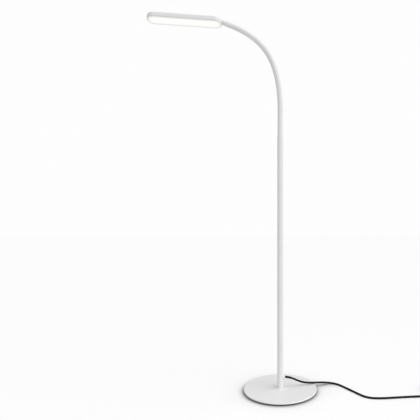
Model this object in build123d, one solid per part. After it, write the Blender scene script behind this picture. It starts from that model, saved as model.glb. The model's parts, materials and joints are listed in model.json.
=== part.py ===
from build123d import *
import math
import os

# Gooseneck reading floor lamp. Lengths are in millimetres and angles in degrees.
# +Z is up, and the origin is on the floor under the pole. The neck bends over towards -X
# in the XZ plane, and the power cord leaves the foot of the pole towards +X.

# ---- Gaps ----
FIT = 0.1  # radial gap between pieces that are pushed or screwed into each other
RUN = 0.2  # gap between pieces that turn on each other
SOCKET_GAP = 0.3  # gap between a neck stretch's rounded end and the next stretch

# ---- Base ----
BASE_RADIUS = 125.0
BASE_HEIGHT = 9.0  # floor to the top of the cover
COVER_SHEET = 1.2
COVER_EDGE = 3.0  # outer rounding of the cover's edge
COVER_SKIRT = 3.6  # the cover's height at its edge; the weight steps in below it
PAD_THICK = 1.5
PAD_INSET = 7.0
ROSETTE_RADIUS = 21.5
ROSETTE_THICK = 1.2
BOLT_RADIUS = 4.0
BOLT_HEAD_RADIUS = 8.0
BOLT_HEAD_THICK = 2.6
BOLT_SLOT_WIDTH = 2.0
WASHER_THICK = 1.0
COUNTERBORE_RADIUS = 9.0
INSERT_LENGTH = 18.0

# ---- Pole ----
POLE_RADIUS = 10.0
POLE_WALL = 1.2
POLE_TOP = 872.5
SEAM_HEIGHT = 442.0  # where the two tubes meet
SEAM_CHAMFER = 0.3
COUPLER_LENGTH = 50.0
COUPLER_WALL = 2.0
ADAPTOR_DEPTH = 25.0
COLLAR_THICK = 1.5
GRUB_RADIUS = 2.0
GRUB_BELOW_TOP = 12.0
GRUB_LENGTH = 5.0
GRUB_SUNK = 0.5  # how far the set screw lies inside the tube's surface
GRUB_SOCKET_RADIUS = 1.0
GRUB_SOCKET_DEPTH = 2.0

# ---- Neck ----
NECK_RADIUS = 9.0
SLEEVE_WALL = 1.5
CORE_WALL = 1.8
LINK_LENGTH = 45.0
LINK_TURNS = (0, 0, 4, 5.5, 7.5, 10.5, 13.5, 13, 9.5, 8)  # bend of each stretch at rest
DOME_HOLE_RADIUS = 4.5
SOCKET_LIP = 3.5  # how far past the joint's centre the next stretch's edge starts
SPIGOT_LENGTH = 15.0
FERRULE_RADIUS = 9.2  # where it leaves the neck
FERRULE_END_RADIUS = 7.6
FERRULE_LENGTH = 24.0
FERRULE_TAPER = 0.8
NOSE_RADIUS = 6.5
NOSE_LENGTH = 1.5

# ---- Head: X runs from the neck to the tip, Z up out of the back ----
HEAD_LENGTH = 250.0
HEAD_WIDTH = 52.0
HEAD_THICK = 18.0
HEAD_RISE = 2.0  # the head's slope up towards its tip
HEAD_ROLL = 8.5  # the head's turn on its stud at rest
SHELL_WALL = 1.5
SHELL_EDGE = 6.5
BEZEL_EDGE = 2.6
HEAD_SEAM_CHAMFER = 0.25  # on both sides of the seam between shell and bezel
BEZEL_HEIGHT = 3.0
RIM_WIDTH = 10.0
LIP_THICK = 0.9
LIP_SEAT = 1.5  # how far the lit panel reaches in over the lip
DIFFUSER_THICK = 1.4
LAND_DEPTH = 0.8  # flat cut in the head's end, where the neck meets it
BOSS_DEPTH = 5.0
BOSS_WIDTH = 16.0
STUD_RADIUS = 3.25
STUD_BORE = 2.2
STUD_IN_FERRULE = 9.0
STUD_IN_HEAD = 9.0
NUT_RADIUS = 4.5
NUT_THICK = 3.0
STUD_WASHER_RADIUS = 6.2
STUD_WASHER_THICK = 1.2
BOARD_START = 20.0
BOARD_END_GAP = 12.0  # from the light board's end to the head's tip
BOARD_WIDTH = 34.0
BOARD_THICK = 1.0
BOARD_ABOVE_SEAM = 6.0  # board's upper face above the seam between shell and bezel
CHIP_SIZE = (3.5, 2.8, 0.7)
CHIPS_PER_ROW = 20
CHIP_ROW_GAP = 14.0
SCREW_RADIUS = 1.1
SCREW_HEAD_RADIUS = 2.0
SCREW_HEAD_THICK = 1.2
SCREW_LENGTH = 3.5
POST_RADIUS = 2.6
POST_INSET = 12.0  # screws in from the light board's ends
POST_SPREAD = 26.0
DRIVER_START = 26.0
DRIVER_LENGTH = 60.0
DRIVER_WIDTH = 16.0
DRIVER_THICK = 1.0
DRIVER_BLOCKS = ((4.0, 8.0, 10.0), (19.0, 14.0, 11.0), (36.0, 9.0, 9.0), (50.0, 8.0, 12.0))
TOUCH_START = 120.0
TOUCH_LENGTH = 18.0
TOUCH_WIDTH = 14.0
TOUCH_THICK = 0.8
HEAD_LEAD_RADIUS = 1.5
HEAD_LEAD_BEND = 7.5

# ---- Cord and gland ----
CORD_RADIUS = 3.25
POLE_LEAD_RADIUS = 2.5
GLAND_HEIGHT = 46.0
GLAND_HOLE_RADIUS = 5.0
GLAND_FLANGE_RADIUS = 6.2
GLAND_FLANGE_THICK = 2.2
GLAND_TIP_RADIUS = 4.6
GLAND_OUT = 6.0  # how far the gland stands out of the pole
GLAND_IN = 3.0  # how far it reaches in from the tube's outside
CLIP_THICK = 1.2
CORD_ROUTE = (
    (31, 0, 46), (72, 9, 25.5), (104, 20, 15), (150, 33.5, 10), (181, 37.5, 3.8),
    (205, 20, 3.3), (224, -13, 3.3), (247, -50, 3.3), (276, -92, 3.3), (318, -102, 3.3),
    (380, -99, 3.3), (440, -97, 3.3),
)
CORD_LEVEL_RUN = 45.0  # the cord's last straight run before the coil
COIL_CENTRE = (540.0, -53.6)
COIL_TURNS = 3  # loops in each of the two layers
COIL_MEAN_RADIUS = 35.8
COIL_GAP = 0.6  # gap between neighbouring loops
TIE_WIDTH = 6.0
TIE_THICK = 1.0
TIE_GAP = 0.3  # strap's gap over and under the loops
TIE_SLACK = 1.1  # strap's gap on each side of the loops, which curve inside it
TAIL_LEVEL_RUN = 24.0  # the cord's first straight run after the coil
TAIL_BEND = (600, -108, 7)
TAIL_END = (628.0, -108.0, 7.0)
PLUG_LENGTH = 36.0
PLUG_WIDTH = 36.0
PLUG_THICK = 14.0
PLUG_EDGE = 3.0
PLUG_WAIST = 20.0
RELIEF_LENGTH = 20.0
RELIEF_RADIUS = 5.6
RELIEF_TIP_RADIUS = 3.9
PIN_RADIUS = 2.0
PIN_CORE_RADIUS = 1.2  # inside the plug and its collars
PIN_COLLAR_RADIUS = 1.7
PIN_COLLAR_LENGTH = 10.0  # insulating collar, out of the plug's face
PIN_LENGTH = 19.0
PIN_ROOT = 6.0
PIN_TIP = 1.2  # rounding of the pins' ends
PIN_SPACING = 19.0

# ---- Worked out from the sizes above ----
TUBE_BORE = POLE_RADIUS - POLE_WALL
COVER_UNDER = BASE_HEIGHT - COVER_SHEET
COVER_LOWER = BASE_HEIGHT - COVER_SKIRT
ROSETTE_TOP = BASE_HEIGHT + ROSETTE_THICK
NECK_START = POLE_TOP + COLLAR_THICK
SLEEVE_BORE = NECK_RADIUS - SLEEVE_WALL
CORE_RADIUS = SLEEVE_BORE - 2 * FIT
CORE_BORE = CORE_RADIUS - CORE_WALL
HEAD_TOP = HEAD_THICK / 2
SEAM_Z = BEZEL_HEIGHT - HEAD_TOP
CEILING = HEAD_TOP - SHELL_WALL
BOARD_LENGTH = HEAD_LENGTH - BOARD_START - BOARD_END_GAP
BOARD_TOP = SEAM_Z + BOARD_ABOVE_SEAM
BOARD_UNDER = BOARD_TOP - BOARD_THICK
DRIVER_UNDER = CEILING - RUN - DRIVER_THICK
COIL_PITCH = 2 * CORD_RADIUS + COIL_GAP
COIL_OUTER = COIL_MEAN_RADIUS + COIL_TURNS * COIL_PITCH / 2
COIL_LOW = CORD_RADIUS + TIE_THICK + TIE_GAP
COIL_HIGH = COIL_LOW + COIL_PITCH
COIL_SIDE = COIL_CENTRE[1] - COIL_OUTER
COIL_START = COIL_CENTRE[0] - 2 * CORD_RADIUS
COIL_END = COIL_CENTRE[0] + 2 * CORD_RADIUS


def cylinder_up(radius, start, height):
    """A cylinder on the Z axis from the height start."""
    return Pos(0, 0, start + height / 2) * Cylinder(radius, height)


def ring_up(outer, inner, start, height):
    """A tube on the Z axis from the height start."""
    return cylinder_up(outer, start, height) - cylinder_up(inner, start, height)


def rounded_top(solid, radius):
    """The solid with its highest edges rounded."""
    return fillet(solid.edges().group_by(Axis.Z)[-1], radius)


def stadium(length, width, start, height):
    """A flat bar with round ends, centred along the head, from the height start."""
    outline = SlotOverall(length, width)
    return Pos(HEAD_LENGTH / 2, 0, start) * extrude(outline, amount=height)


def block(x_start, length, width, start, height):
    """A box centred on the head's middle line."""
    return Pos(x_start + length / 2, 0, start + height / 2) * Box(length, width, height)


# ---- Base pieces ----


def base_pad():
    return cylinder_up(BASE_RADIUS - PAD_INSET, 0, PAD_THICK)


def base_weight():
    disc = cylinder_up(BASE_RADIUS - COVER_SHEET - FIT, COVER_LOWER, COVER_UNDER - COVER_LOWER)
    disc = rounded_top(disc, COVER_EDGE - COVER_SHEET + FIT)
    disc += cylinder_up(BASE_RADIUS - PAD_INSET, PAD_THICK, COVER_LOWER - PAD_THICK)
    recess = BOLT_HEAD_THICK + WASHER_THICK + FIT
    disc -= cylinder_up(COUNTERBORE_RADIUS, PAD_THICK, recess)
    return disc - cylinder_up(BOLT_RADIUS + FIT, 0, BASE_HEIGHT)


def base_cover():
    outside = rounded_top(cylinder_up(BASE_RADIUS, COVER_LOWER, COVER_SKIRT), COVER_EDGE)
    inside = cylinder_up(BASE_RADIUS - COVER_SHEET, COVER_LOWER, COVER_UNDER - COVER_LOWER)
    inside = rounded_top(inside, COVER_EDGE - COVER_SHEET)
    return outside - inside - cylinder_up(BOLT_RADIUS + FIT, 0, BASE_HEIGHT)


def foot_rosette():
    disc = rounded_top(cylinder_up(ROSETTE_RADIUS, BASE_HEIGHT, ROSETTE_THICK), ROSETTE_THICK / 2)
    return disc - cylinder_up(BOLT_RADIUS + FIT, BASE_HEIGHT, ROSETTE_THICK)


def base_bolt():
    head = cylinder_up(BOLT_HEAD_RADIUS, PAD_THICK, BOLT_HEAD_THICK)
    slot = Pos(0, 0, PAD_THICK) * Box(3 * BOLT_HEAD_RADIUS, BOLT_SLOT_WIDTH, BOLT_HEAD_THICK)
    shank = cylinder_up(BOLT_RADIUS, PAD_THICK + BOLT_HEAD_THICK / 2,
                        ROSETTE_TOP + INSERT_LENGTH - PAD_THICK - BOLT_HEAD_THICK / 2)
    return head - slot + shank


def base_washer():
    start = PAD_THICK + BOLT_HEAD_THICK
    return ring_up(BOLT_HEAD_RADIUS, BOLT_RADIUS + FIT, start, WASHER_THICK)


# ---- Pole pieces ----


def gland_axis(distance):
    """The place on the gland's axis at a distance from the pole's axis, facing outwards."""
    return Plane(origin=(distance, 0, GLAND_HEIGHT), z_dir=(1, 0, 0)).location


def grub_axis(distance):
    """The place on the set screw's axis at a distance from the pole's axis, facing outwards."""
    return Plane(origin=(0, distance, POLE_TOP - GRUB_BELOW_TOP), z_dir=(0, 1, 0)).location


def lower_pole_tube():
    tube = cylinder_up(POLE_RADIUS, ROSETTE_TOP, SEAM_HEIGHT - ROSETTE_TOP)
    tube = chamfer(tube.edges().group_by(Axis.Z)[-1], SEAM_CHAMFER)
    tube -= cylinder_up(TUBE_BORE, ROSETTE_TOP, SEAM_HEIGHT - ROSETTE_TOP)
    hole = gland_axis(0) * cylinder_up(GLAND_HOLE_RADIUS + FIT, 0, 2 * POLE_RADIUS)
    return tube - hole


def upper_pole_tube():
    tube = cylinder_up(POLE_RADIUS, SEAM_HEIGHT, POLE_TOP - SEAM_HEIGHT)
    tube = chamfer(tube.edges().group_by(Axis.Z)[0], SEAM_CHAMFER)
    tube -= cylinder_up(TUBE_BORE, SEAM_HEIGHT, POLE_TOP - SEAM_HEIGHT)
    return tube - grub_axis(0) * cylinder_up(GRUB_RADIUS + FIT, 0, 2 * POLE_RADIUS)


def pole_foot_insert():
    return ring_up(TUBE_BORE - FIT, BOLT_RADIUS + FIT, ROSETTE_TOP, INSERT_LENGTH)


def pole_coupler():
    outer = TUBE_BORE - FIT
    return ring_up(outer, outer - COUPLER_WALL, SEAM_HEIGHT - COUPLER_LENGTH / 2, COUPLER_LENGTH)


def neck_adaptor():
    plug = cylinder_up(TUBE_BORE - FIT, POLE_TOP - ADAPTOR_DEPTH, ADAPTOR_DEPTH)
    collar = rounded_top(cylinder_up(POLE_RADIUS, POLE_TOP, COLLAR_THICK), COLLAR_THICK / 2)
    spigot = cylinder_up(CORE_BORE - FIT, NECK_START - COLLAR_THICK / 2,
                         SPIGOT_LENGTH + COLLAR_THICK / 2)
    bore = cylinder_up(POLE_LEAD_RADIUS + RUN, POLE_TOP - ADAPTOR_DEPTH, 2 * ADAPTOR_DEPTH)
    screw_hole = grub_axis(POLE_LEAD_RADIUS + 2 * RUN) * cylinder_up(GRUB_RADIUS + FIT, 0, POLE_RADIUS)
    return plug + collar + spigot - bore - screw_hole


def neck_grub_screw():
    screw = cylinder_up(GRUB_RADIUS, 0, GRUB_LENGTH)
    screw -= cylinder_up(GRUB_SOCKET_RADIUS, GRUB_LENGTH - GRUB_SOCKET_DEPTH, GRUB_SOCKET_DEPTH)
    return grub_axis(POLE_RADIUS - GRUB_SUNK - GRUB_LENGTH) * screw


# ---- Gland and leads ----


def cord_gland():
    neck = cylinder_up(GLAND_HOLE_RADIUS, POLE_RADIUS - GLAND_IN, GLAND_IN + GLAND_FLANGE_THICK / 2)
    flange = cylinder_up(GLAND_FLANGE_RADIUS, TUBE_BORE, POLE_WALL + GLAND_FLANGE_THICK)
    tip_start = POLE_RADIUS + GLAND_FLANGE_THICK
    tip = Pos(0, 0, tip_start) * extrude_cone(GLAND_HOLE_RADIUS, GLAND_TIP_RADIUS,
                                              GLAND_OUT - GLAND_FLANGE_THICK)
    outside = gland_axis(0) * (rounded_top(flange, GLAND_FLANGE_THICK / 3) + tip)
    outside -= cylinder_up(POLE_RADIUS + FIT, 0, 2 * GLAND_HEIGHT)
    bore = cylinder_up(CORD_RADIUS + FIT, 0, 3 * POLE_RADIUS)
    return outside + gland_axis(0) * neck - gland_axis(0) * bore


def extrude_cone(bottom, top, height):
    """A cone frustum standing on the XY plane."""
    return Pos(0, 0, height / 2) * Cone(bottom, top, height)


def gland_clip():
    groove = gland_axis(0) * ring_up(GLAND_FLANGE_RADIUS, GLAND_HOLE_RADIUS + FIT,
                                     POLE_RADIUS - GLAND_IN, CLIP_THICK)
    return groove & cylinder_up(TUBE_BORE - FIT, 0, 2 * GLAND_HEIGHT)


def pole_lead():
    """The lead from the gland's inner end up through the pole to the neck."""
    inside = POLE_RADIUS - GLAND_IN
    bend = inside - RUN
    path = FilletPolyline((inside, 0, GLAND_HEIGHT), (0, 0, GLAND_HEIGHT), (0, 0, NECK_START),
                          radius=bend)
    start = Plane(origin=(inside, 0, GLAND_HEIGHT), z_dir=(-1, 0, 0))
    return sweep(start * Circle(POLE_LEAD_RADIUS), path=path)


# ---- Neck: each stretch ends in a dome, and the next one's open end runs on it ----


def lean_direction(lean):
    """The unit vector that leans away from +Z towards -X."""
    angle = math.radians(lean)
    return Vector(-math.sin(angle), 0, math.cos(angle))


def neck_places():
    """The point and the lean at the start of each stretch, and at the end of the last."""
    point = Vector(0, 0, NECK_START)
    lean = 0.0
    places = [(point, lean)]
    for turn in LINK_TURNS:
        half = math.radians(turn) / 2
        chord = LINK_LENGTH * (math.sin(half) / half if turn else 1)
        point = point + lean_direction(lean + turn / 2) * chord
        lean += turn
        places.append((point, lean))
    return places


NECK_PLACES = neck_places()
LAST_LINK = len(LINK_TURNS) - 1


def neck_plane(index):
    """The plane across the neck at a joint, facing on along it."""
    point, lean = NECK_PLACES[index]
    return Plane(origin=point, x_dir=(0, 1, 0), z_dir=lean_direction(lean))


def link_tube(index, outer, inner):
    """A stretch of the neck as a tube bent to its arc."""
    point, lean = NECK_PLACES[index]
    target = NECK_PLACES[index + 1][0]
    if LINK_TURNS[index]:
        path = TangentArc(point, target, tangent=lean_direction(lean))
    else:
        path = Line(point, target)
    return sweep(neck_plane(index) * (Circle(outer) - Circle(inner)), path=path)


def socket_cut(index):
    """What is cut from a stretch's open end so that it can swing on the dome before it."""
    cleared = cylinder_up(2 * NECK_RADIUS, SOCKET_LIP - NECK_RADIUS, NECK_RADIUS)
    return neck_plane(index).location * (Sphere(NECK_RADIUS + SOCKET_GAP) + cleared)


def neck_sleeve(index):
    sleeve = link_tube(index, NECK_RADIUS, SLEEVE_BORE)
    if index < LAST_LINK:
        dome = Sphere(NECK_RADIUS) - Sphere(SLEEVE_BORE)
        dome -= cylinder_up(2 * NECK_RADIUS, -2 * NECK_RADIUS, 2 * NECK_RADIUS)
        dome -= cylinder_up(DOME_HOLE_RADIUS, 0, 2 * NECK_RADIUS)
        sleeve += neck_plane(index + 1).location * dome
    if index > 0:
        sleeve -= socket_cut(index)
    return sleeve


def neck_core(index):
    core = link_tube(index, CORE_RADIUS, CORE_BORE)
    return core - socket_cut(index) if index > 0 else core


# ---- Ferrule and the stud that the head turns on ----


def head_direction():
    """The head's long axis, from the neck to the tip."""
    return lean_direction(90 - HEAD_RISE)


def ferrule_knee():
    """Where the neck's axis meets the head's axis."""
    point, lean = NECK_PLACES[-1]
    return point + lean_direction(lean) * FERRULE_LENGTH


def head_place():
    """The head's own place: origin at its flat end, X to the tip, Z out of its back."""
    origin = ferrule_knee() + head_direction() * (NOSE_LENGTH + STUD_WASHER_THICK - LAND_DEPTH)
    upright = Plane(origin=origin, x_dir=head_direction(), z_dir=lean_direction(-HEAD_RISE))
    return upright.location * Rot(HEAD_ROLL, 0, 0)


HEAD_PLACE = head_place()


def along_stud(distance):
    """A place on the stud's axis, at a distance into the head, facing the tip."""
    return HEAD_PLACE * Pos(distance, 0, 0) * Rot(0, 90, 0)


def neck_ferrule():
    start = neck_plane(len(LINK_TURNS))
    reach = FERRULE_LENGTH + FERRULE_RADIUS
    far_radius = FERRULE_RADIUS + (FERRULE_END_RADIUS - FERRULE_RADIUS) * reach / FERRULE_LENGTH
    barrel = start.location * Pos(0, 0, reach / 2) * Cone(FERRULE_RADIUS, far_radius, reach)
    knee = -NOSE_LENGTH - STUD_WASHER_THICK + LAND_DEPTH
    barrel -= along_stud(knee) * cylinder_up(3 * FERRULE_RADIUS, 0, 3 * FERRULE_RADIUS)
    far_edge = barrel.edges().sort_by_distance(ferrule_knee())[0]
    barrel = chamfer(far_edge, FERRULE_TAPER)
    nose = along_stud(knee) * cylinder_up(NOSE_RADIUS, -FERRULE_TAPER, NOSE_LENGTH + FERRULE_TAPER)
    bore = along_stud(knee) * cylinder_up(STUD_RADIUS + FIT, -STUD_IN_FERRULE, 2 * STUD_IN_FERRULE)
    lead_way = start.location * cylinder_up(DOME_HOLE_RADIUS, 0, FERRULE_LENGTH - STUD_IN_FERRULE)
    return barrel + nose - bore - lead_way


def head_nipple():
    knee = -NOSE_LENGTH - STUD_WASHER_THICK + LAND_DEPTH
    length = STUD_IN_FERRULE - knee + STUD_IN_HEAD
    return along_stud(knee) * ring_up(STUD_RADIUS, STUD_BORE, -STUD_IN_FERRULE, length)


def head_washer():
    start = LAND_DEPTH - STUD_WASHER_THICK
    return along_stud(start) * ring_up(STUD_WASHER_RADIUS, STUD_RADIUS + FIT, 0,
                                       STUD_WASHER_THICK - RUN)


def head_nut():
    return along_stud(BOSS_DEPTH + RUN) * ring_up(NUT_RADIUS, STUD_RADIUS + FIT, 0, NUT_THICK)


# ---- Head pieces, in the head's own place ----


def post_places():
    """The screws that hold the light board, as places along and across the head."""
    start = BOARD_START + POST_INSET
    end = BOARD_START + BOARD_LENGTH - POST_INSET
    return [(x, side * POST_SPREAD / 2) for x in (start, end) for side in (-1, 1)]


def head_shell():
    outside = rounded_top(stadium(HEAD_LENGTH, HEAD_WIDTH, SEAM_Z, HEAD_TOP - SEAM_Z), SHELL_EDGE)
    outside = chamfer(outside.edges().group_by(Axis.Z)[0], HEAD_SEAM_CHAMFER)
    inner_length = HEAD_LENGTH - 2 * SHELL_WALL
    inner_width = HEAD_WIDTH - 2 * SHELL_WALL
    inside = stadium(inner_length, inner_width, SEAM_Z, CEILING - SEAM_Z)
    shell = outside - rounded_top(inside, SHELL_EDGE - SHELL_WALL)
    boss = block(SHELL_WALL / 2, BOSS_DEPTH - SHELL_WALL / 2, BOSS_WIDTH, SEAM_Z, CEILING - SEAM_Z)
    shell += boss & outside
    for x, y in post_places():
        shell += Pos(x, y, 0) * cylinder_up(POST_RADIUS, BOARD_TOP, CEILING - BOARD_TOP + SHELL_WALL / 2)
        shell -= Pos(x, y, 0) * cylinder_up(SCREW_RADIUS + FIT, BOARD_TOP, SCREW_LENGTH)
    shell -= block(0, LAND_DEPTH, HEAD_WIDTH, -HEAD_THICK, 2 * HEAD_THICK)
    bore = Rot(0, 90, 0) * cylinder_up(STUD_RADIUS + RUN, 0, 2 * BOSS_DEPTH)
    return shell - bore


def head_bezel():
    ring = stadium(HEAD_LENGTH, HEAD_WIDTH, -HEAD_TOP, BEZEL_HEIGHT)
    ring = chamfer(ring.edges().group_by(Axis.Z)[-1], HEAD_SEAM_CHAMFER)
    ring = fillet(ring.edges().group_by(Axis.Z)[0], BEZEL_EDGE)
    opening = HEAD_LENGTH - 2 * RIM_WIDTH, HEAD_WIDTH - 2 * RIM_WIDTH
    ring -= stadium(*opening, -HEAD_TOP, BEZEL_HEIGHT)
    seat = 2 * (LIP_SEAT + FIT)
    ring -= stadium(opening[0] + seat, opening[1] + seat, LIP_THICK - HEAD_TOP, BEZEL_HEIGHT)
    return ring - block(0, LAND_DEPTH, HEAD_WIDTH, -HEAD_THICK, 2 * HEAD_THICK)


def head_diffuser():
    length = HEAD_LENGTH - 2 * RIM_WIDTH + 2 * LIP_SEAT
    width = HEAD_WIDTH - 2 * RIM_WIDTH + 2 * LIP_SEAT
    return stadium(length, width, LIP_THICK - HEAD_TOP, DIFFUSER_THICK)


def led_board():
    board = block(BOARD_START, BOARD_LENGTH, BOARD_WIDTH, BOARD_UNDER, BOARD_THICK)
    for x, y in post_places():
        board -= Pos(x, y, 0) * cylinder_up(SCREW_RADIUS + FIT, BOARD_UNDER, BOARD_THICK)
    return board


def led_chips():
    """Two rows of light-emitting chips under the board, clear of the screws."""
    step = BOARD_LENGTH / CHIPS_PER_ROW
    chips = []
    for column in range(CHIPS_PER_ROW):
        for side in (-1, 1):
            x = BOARD_START + (column + 0.5) * step
            place = Pos(x, side * CHIP_ROW_GAP / 2, BOARD_UNDER - CHIP_SIZE[2] / 2)
            chips.append(place * Box(*CHIP_SIZE))
    return Compound(children=chips)


def led_screws():
    screws = []
    for x, y in post_places():
        head = cylinder_up(SCREW_HEAD_RADIUS, BOARD_UNDER - SCREW_HEAD_THICK, SCREW_HEAD_THICK)
        shank = cylinder_up(SCREW_RADIUS, BOARD_UNDER - SCREW_HEAD_THICK / 2,
                            SCREW_LENGTH + SCREW_HEAD_THICK / 2)
        screws.append(Pos(x, y, 0) * (head + shank))
    return Compound(children=screws)


def driver_board():
    return block(DRIVER_START, DRIVER_LENGTH, DRIVER_WIDTH, DRIVER_UNDER, DRIVER_THICK)


def driver_parts():
    """The terminal block and the parts that hang under the driver board."""
    height = DRIVER_UNDER - BOARD_TOP - RUN
    parts = []
    for start, length, width in DRIVER_BLOCKS:
        parts.append(block(DRIVER_START + start, length, width, DRIVER_UNDER - height, height))
    return Compound(children=parts)


def touch_board():
    return block(TOUCH_START, TOUCH_LENGTH, TOUCH_WIDTH, CEILING - RUN - TOUCH_THICK, TOUCH_THICK)


def head_lead():
    """The lead from the stud's bore up over the light board to the terminal block."""
    height = (BOARD_TOP + DRIVER_UNDER) / 2
    points = ((-STUD_IN_FERRULE, 0, 0), (STUD_IN_HEAD + 2, 0, 0),
              (BOARD_START - 2, 0, height), (DRIVER_START + DRIVER_BLOCKS[0][0], 0, height))
    path = FilletPolyline(*points, radius=HEAD_LEAD_BEND)
    start = Plane(origin=points[0], z_dir=(1, 0, 0))
    return sweep(start * Circle(HEAD_LEAD_RADIUS), path=path)


# ---- Cord: straight runs joined by arcs as large as the runs allow ----


def cord_radii(points):
    """The arc's radius at each corner: 0.45 of the shorter run over the tangent of half the turn."""
    radii = []
    for before, corner, after in zip(points, points[1:], points[2:]):
        run_in = Vector(corner) - Vector(before)
        run_out = Vector(after) - Vector(corner)
        half = math.radians(run_in.get_angle(run_out)) / 2
        radii.append(0.45 * min(run_in.length, run_out.length) / math.tan(half))
    return radii


def cord_tube(name, points):
    """A cord along the route, with its radii and its volume printed."""
    radii = cord_radii(points)
    path = FilletPolyline(*points, radius=radii)
    start = Plane(origin=points[0], z_dir=Vector(points[1]) - Vector(points[0]))
    tube = sweep(start * Circle(CORD_RADIUS), path=path)
    wanted = math.pi * CORD_RADIUS**2 * path.length
    print(name, "length", round(path.length), "volume ratio", round(tube.volume / wanted, 5),
          "radii", [round(radius) for radius in radii])
    return tube


def power_cord():
    start = (POLE_RADIUS - GLAND_IN, 0, GLAND_HEIGHT)
    level = (COIL_START - CORD_LEVEL_RUN, COIL_SIDE, COIL_LOW)
    return cord_tube("power_cord", [start, *CORD_ROUTE, level, (COIL_START, COIL_SIDE, COIL_LOW)])


def plug_cord():
    start = (COIL_END, COIL_SIDE, COIL_HIGH)
    level = (COIL_END + TAIL_LEVEL_RUN, COIL_SIDE, COIL_HIGH)
    return cord_tube("plug_cord", [start, level, TAIL_BEND, TAIL_END])


def coil_path():
    """Half turns that spiral in on the floor, climb one layer and spiral out above.

    Half turn n of the first layer has the radius COIL_OUTER - n * pitch / 2. The half turn that
    climbs is two arcs, which meet on the circle of radius sqrt(r^2 + h^2 / 4) about its middle.
    """
    x, y, height, heading = COIL_CENTRE[0], COIL_SIDE, COIL_LOW, 1
    edges = [Line((COIL_START, y, height), (x, y, height))]
    half_turns = 2 * COIL_TURNS
    radii = [COIL_OUTER - n * COIL_PITCH / 2 for n in range(half_turns + 1)]
    radii += radii[-2:0:-1]
    for n, radius in enumerate(radii):
        end_y = y + 2 * radius * heading
        if n == half_turns:
            reach = math.hypot(radius, COIL_PITCH / 2)
            middle = (x + reach * heading, (y + end_y) / 2, height + COIL_PITCH / 2)
            edges.append(TangentArc((x, y, height), middle, tangent=(heading, 0, 0)))
            height = COIL_HIGH
            edges.append(TangentArc(middle, (x, end_y, height), tangent=edges[-1] % 1))
        else:
            edges.append(TangentArc((x, y, height), (x, end_y, height), tangent=(heading, 0, 0)))
        y, heading = end_y, -heading
    edges.append(Line((x, y, height), (COIL_END, y, height)))
    return Wire(edges)


def least_self_gap(path, steps=900):
    """The least gap between stretches of a wound cord that are half a loop or more apart."""
    points = [path @ (n / steps) for n in range(steps + 1)]
    apart = math.ceil(steps * math.pi * COIL_MEAN_RADIUS / path.length / 2)
    gaps = [(points[a] - points[b]).length
            for a in range(len(points)) for b in range(a + apart, len(points))]
    return min(gaps) - 2 * CORD_RADIUS


def cord_coil():
    path = coil_path()
    print("cord_coil length", round(path.length), "least gap", round(least_self_gap(path), 2))
    start = Plane(origin=path @ 0, z_dir=path % 0)
    return sweep(start * Circle(CORD_RADIUS), path=path)


def cord_tie():
    """A strap round the coil where its loops lie in two even stacks, on the side of the neck."""
    across = (COIL_TURNS - 1) * COIL_PITCH + 2 * CORD_RADIUS + 2 * TIE_SLACK
    tall = COIL_PITCH + 2 * CORD_RADIUS + 2 * TIE_GAP
    middle_x = COIL_CENTRE[0] - COIL_OUTER + COIL_TURNS * COIL_PITCH / 2
    middle_z = (COIL_LOW + COIL_HIGH) / 2
    outer = RectangleRounded(across + 2 * TIE_THICK, tall + 2 * TIE_THICK, 2 * TIE_THICK)
    band = outer - RectangleRounded(across, tall, TIE_THICK)
    start = (middle_x, COIL_CENTRE[1] + TIE_WIDTH / 2, middle_z)
    place = Plane(origin=start, x_dir=(1, 0, 0), z_dir=(0, -1, 0))
    return extrude(place * band, amount=TIE_WIDTH)


def plug_place(distance):
    """A place on the plug's axis, at a distance from the end of its cord, facing the pins."""
    x, y, z = TAIL_END
    return Plane(origin=(x + distance, y, z), x_dir=(0, 1, 0), z_dir=(1, 0, 0))


def plug_body():
    """A flat two-pin plug that tapers back to a strain relief."""
    relief = loft([plug_place(0) * Circle(RELIEF_TIP_RADIUS),
                   plug_place(RELIEF_LENGTH + PLUG_EDGE) * Circle(RELIEF_RADIUS)])
    half, waist, face = PLUG_WIDTH / 2, PLUG_WAIST / 2, PLUG_LENGTH
    outline = Polyline((0, -waist), (face / 2, -half), (face, -half), (face, half),
                       (face / 2, half), (0, waist), close=True)
    body = extrude(make_face(outline), amount=PLUG_THICK / 2, both=True)
    body = fillet(body.edges().filter_by(Axis.Z), PLUG_EDGE)
    body = fillet(body.edges().group_by(Axis.Z)[0] + body.edges().group_by(Axis.Z)[-1], PLUG_EDGE / 2)
    x, y, z = TAIL_END
    body = Pos(x + RELIEF_LENGTH, y, z) * body + relief
    for place in pin_places(0):
        body += place * cylinder_up(PIN_COLLAR_RADIUS, -PIN_ROOT, PIN_ROOT + PIN_COLLAR_LENGTH)
        body -= place * cylinder_up(PIN_CORE_RADIUS + FIT, -PIN_ROOT, PIN_ROOT + PIN_COLLAR_LENGTH)
    return body


def pin_places(distance):
    """Places on the pins' axes, at a distance out of the plug's face."""
    face = plug_place(RELIEF_LENGTH + PLUG_LENGTH + distance).location
    return [face * Pos(side * PIN_SPACING / 2, 0, 0) for side in (-1, 1)]


def plug_pins():
    pins = []
    for place in pin_places(0):
        core = cylinder_up(PIN_CORE_RADIUS, -PIN_ROOT, PIN_ROOT + PIN_COLLAR_LENGTH)
        pin = cylinder_up(PIN_RADIUS, PIN_COLLAR_LENGTH, PIN_LENGTH - PIN_COLLAR_LENGTH)
        pins.append(place * (core + rounded_top(pin, PIN_TIP)))
    return Compound(children=pins)


# ---- Every node, by its name ----

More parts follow.
